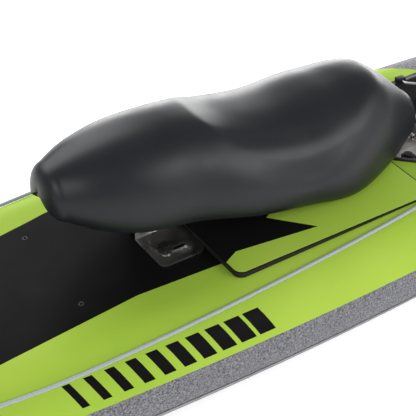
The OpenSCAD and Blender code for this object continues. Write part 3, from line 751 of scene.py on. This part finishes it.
class KAYAK_OT_mounting(KayakOperator):
    """Adds the brackets, posts, studs, knobs and fasteners that carry the saddle"""

    bl_idname = "kayak.mounting"
    bl_label = "Saddle mounting"

    def execute(self, context):
        for node in ("front_bracket_port", "front_bracket_starboard",
                     "rear_bracket_port", "rear_bracket_starboard"):
            worked(node, node.replace("bracket", "angle"), 0.5 * MM, steel(), "saddle")
        for node, name in (("front_post", "nose_block"), ("rear_post", "tail_block")):
            worked(node, name, 1.0 * MM, black_plastic(), "saddle")
        bright = paint("bright", brushed, "bright_steel", colours().steel[:], (600, 600, 60), 0.22)
        worked("bracket_bolts", "cap_screws", 0.35 * MM, bright, "saddle")
        worked("bracket_nuts", "hex_nuts", 0.35 * MM, bright, "saddle")
        worked("stud_plates", "backing_plates", 0.3 * MM, bright)
        worked("mount_studs", "studs", 0.5 * MM, bright)
        worked("knob_washers", "flat_washers", 0.25 * MM, bright)
        for place in ("front_port", "front_starboard", "rear_port", "rear_starboard"):
            worked("knob_" + place, "lobed_knob_" + place, 0.9 * MM, black_plastic(),
                   "knob_" + place, segments=3)
        return {"FINISHED"}


# The port line's way along the rail: stations and half-widths, in mm
ROUTE = [(-350, 176), (-270, 190), (-170, 204), (-30, 215), (110, 222), (260, 226),
         (410, 226), (540, 222), (650, 213), (760, 200)]
LINE_UP = 6.1
EYE_LIFT = 5.0
EYE_POWER = 8
LINE_RINGS = 560
LINE_SIDES = 18
STRAND_ROOT, STRAND_LOBE, STRAND_POWER = 0.80, 0.20, 0.6
UV_STEP = 0.5


def line_point(u):
    """A point of the port line's middle, from the stern eye at 0 to the bow eye at 1."""
    x, y = catmull([p[0] for p in ROUTE], u), catmull([p[1] for p in ROUTE], u)
    along = (x - ROUTE[0][0]) / (ROUTE[-1][0] - ROUTE[0][0])
    out = max(0.0, y - (WAIST - PLAN_DROP * (x * MM) ** 2) / MM)
    grown = RAIL_R / MM + LINE_UP + EYE_LIFT * (2 * along - 1) ** EYE_POWER
    rise = BOW_RISE / MM * (max(0.0, x * MM - RISE_START) / (BOW_TIP - RISE_START)) ** 2
    return Vector((x, y, RAIL_R / MM + rise + math.sqrt(grown ** 2 - out ** 2))) * MM


class KAYAK_OT_lines(KayakOperator):
    """Adds the twisted deck lines with their knots and eyes"""

    bl_idname = "kayak.lines"
    bl_label = "Deck lines"

    def execute(self, context):
        s = context.scene.kayak_line
        rope = paint("rope", twisted_line, colours().line[:])
        for side, word in ((1, "port"), (-1, "starboard")):
            path = [line_point(i / LINE_RINGS) for i in range(LINE_RINGS + 1)]
            path = [Vector((p.x, side * p.y, p.z)) for p in path]
            run, rings = 0.0, []
            for i, p in enumerate(path):
                t = (path[min(i + 1, LINE_RINGS)] - path[max(i - 1, 0)]).normalized()
                across = Vector((0, 0, 1)).cross(t).normalized()
                up = t.cross(across)
                if i:
                    run += (p - path[i - 1]).length
                turn = 2 * math.pi * run / s.lay
                ring = []
                for j in range(LINE_SIDES):
                    a = 2 * math.pi * j / LINE_SIDES
                    lobe = abs(math.cos(s.strands * (a - turn) / 2))
                    r = s.diameter / 2 * (STRAND_ROOT + STRAND_LOBE * lobe ** STRAND_POWER)
                    ring.append(p + r * (math.cos(a) * across + math.sin(a) * up))
                rings.append(ring)
            line = lofted("deck_line_" + word + "_twisted", rings)
            uv = line.data.uv_layers.new(name="along")
            for loop in line.data.loops:
                i, j = divmod(loop.vertex_index, LINE_SIDES)
                uv.data[loop.index].uv = (i * UV_STEP, j * UV_STEP)
            smooth(line, CORD_ANGLE)
            finish(line, rope)
            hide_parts("deck_line_" + word)
        knots = cad_copy("deck_line_knots", "stopper_knots")
        smooth(knots, CORD_ANGLE)
        finish(knots, paint("knot", webbing, colours().line[:]))
        worked("deck_line_eyes", "line_eyes", 0.5 * MM, steel())
        return {"FINISHED"}


class KAYAK_OT_fittings(KayakOperator):
    """Adds the bail, the valve, the handles and the tow ring"""

    bl_idname = "kayak.fittings"
    bl_label = "Fittings"

    def execute(self, context):
        for node, name, body in (("bail_handle", "bail_wire", "bail"),
                                 ("tow_ring", "tow_ring_wire", "tow_ring_body")):
            piece = cad_copy(node, name)
            smooth(piece, WIRE_ANGLE)
            finish(piece, steel(), body)
        worked("bail_blocks", "bail_feet", 1.0 * MM, black_plastic())
        valve = paint("valve", moulded, "valve_plastic", (0.035, 0.035, 0.04), roughness=0.45)
        pale = paint("pale", moulded, "plunger_plastic", (0.62, 0.62, 0.58), roughness=0.4)
        worked("valve_body", "valve_housing", 0.6 * MM, valve)
        worked("valve_seat", "valve_grid", 0.3 * MM, valve)
        worked("valve_cap", "valve_lid", 0.8 * MM, valve, "valve_cap_body")
        worked("valve_plunger", "valve_stem", 0.6 * MM, pale,
               "valve_plunger_body")
        worked("valve_hinge_pin", "lid_pin", 0.2 * MM, steel())
        strap = paint("strap", webbing, colours().black[:])
        grip = paint("grip", moulded, "grip_rubber", (0.02, 0.02, 0.021),
                     roughness=0.65, grain=260.0, depth=0.5)
        for end in ("bow", "stern"):
            worked(end + "_handle_strap", end + "_strap", 0.5 * MM, strap, degrees=25)
            worked(end + "_handle_grip", end + "_grip", 2.0 * MM, grip, segments=4)
        worked("tow_ring_patch", "ring_patch", 0.8 * MM, black_rubber())
        spring = NODES["valve_spring"]
        spring.data.materials.clear()
        spring.data.materials.append(steel())
        return {"FINISHED"}


class KAYAK_OT_stage(KayakOperator):
    """Adds the floor, the softboxes, the surround and the camera"""

    bl_idname = "kayak.stage"
    bl_label = "Studio"

    def execute(self, context):
        s = context.scene.kayak_stage
        bpy.ops.object.select_all(action="DESELECT")
        bpy.ops.mesh.primitive_plane_add(size=40, location=(0, 0, -0.5 * MM))
        floor = context.object
        floor.name = "studio_floor"
        p = Paint("pale_floor")
        p.look(base_color=(0.93, 0.93, 0.93), roughness=0.9, specular_ior_level=0.1,
               emission_color=(1, 1, 1), emission_strength=s.glow)
        floor.data.materials.append(p.material)
        world = bpy.data.worlds.new("surround")
        context.scene.world = world
        world.use_nodes = True
        world.node_tree.nodes["Background"].inputs[0].default_value = (1, 1, 1, 1)
        world.node_tree.nodes["Background"].inputs[1].default_value = s.sky
        for name, place, aim, size, power in (
            ("high_softbox", (0.5, -1.8, 2.0), (0.1, 0.0, 0.25), (2.6, 1.5), s.key),
            ("far_panel", (-1.5, -1.7, 0.45), (0.0, 0.0, 0.3), (3.0, 0.6), s.back),
            ("stern_softbox", (-1.45, 1.83, 1.26), (0.0, 0.0, 0.3), (2.0, 1.2), s.tail),
            ("bow_softbox", (2.2, 1.5, 1.7), (0.3, 0.0, 0.2), (1.6, 1.2), s.bow),
        ):
            data = bpy.data.lights.new(name, "AREA")
            data.shape, data.size, data.size_y, data.energy = "RECTANGLE", *size, power
            lamp = bpy.data.objects.new(name, data)
            lamp.location = place
            lamp.rotation_euler = (Vector(aim) - Vector(place)).to_track_quat("-Z", "Y").to_euler()
            context.scene.collection.objects.link(lamp)
        target = Vector((s.ahead, 0, DECK_Z))
        back = Vector((math.sin(s.azimuth) * math.cos(s.elevation),
                       -math.cos(s.azimuth) * math.cos(s.elevation), math.sin(s.elevation)))
        cam = bpy.data.objects.new("studio_camera", bpy.data.cameras.new("studio_camera"))
        cam.data.lens, cam.data.sensor_width = s.lens, 36
        cam.data.clip_start, cam.data.clip_end = 0.05, 100
        cam.location = target + back * s.distance
        cam.rotation_euler = (-back).to_track_quat("-Z", "Y").to_euler()
        context.scene.collection.objects.link(cam)
        context.scene.camera = cam
        context.scene.view_settings.view_transform = "Standard"
        return {"FINISHED"}


STEPS = (KAYAK_OT_stage, KAYAK_OT_lines, KAYAK_OT_hull, KAYAK_OT_deck, KAYAK_OT_saddle,
         KAYAK_OT_mounting, KAYAK_OT_fittings)


class KAYAK_PT_panel(bpy.types.Panel):
    bl_label = "Inflatable Kayak"
    bl_idname = "KAYAK_PT_panel"
    bl_space_type = "VIEW_3D"
    bl_region_type = "UI"
    bl_category = "Kayak"

    def draw(self, context):
        layout = self.layout
        for step in STEPS:
            layout.operator(step.bl_idname)
        for group in ("kayak_colours", "kayak_saddle", "kayak_line", "kayak_stage"):
            box = layout.box()
            settings = getattr(context.scene, group)
            for name in settings.__annotations__:
                box.prop(settings, name)


GROUPS = {"kayak_colours": KayakColours, "kayak_saddle": KayakSaddle,
          "kayak_line": KayakLine, "kayak_stage": KayakStage}
CLASSES = (*GROUPS.values(), *STEPS, KAYAK_PT_panel)


def register():
    for cls in CLASSES:
        bpy.utils.register_class(cls)
    for name, cls in GROUPS.items():
        setattr(bpy.types.Scene, name, bpy.props.PointerProperty(type=cls))


def unregister():
    for name in GROUPS:
        delattr(bpy.types.Scene, name)
    for cls in reversed(CLASSES):
        bpy.utils.unregister_class(cls)


def main():
    register()
    for step in STEPS:
        group, name = step.bl_idname.split(".")
        getattr(getattr(bpy.ops, group), name)()


if __name__ == "__main__":
    main()
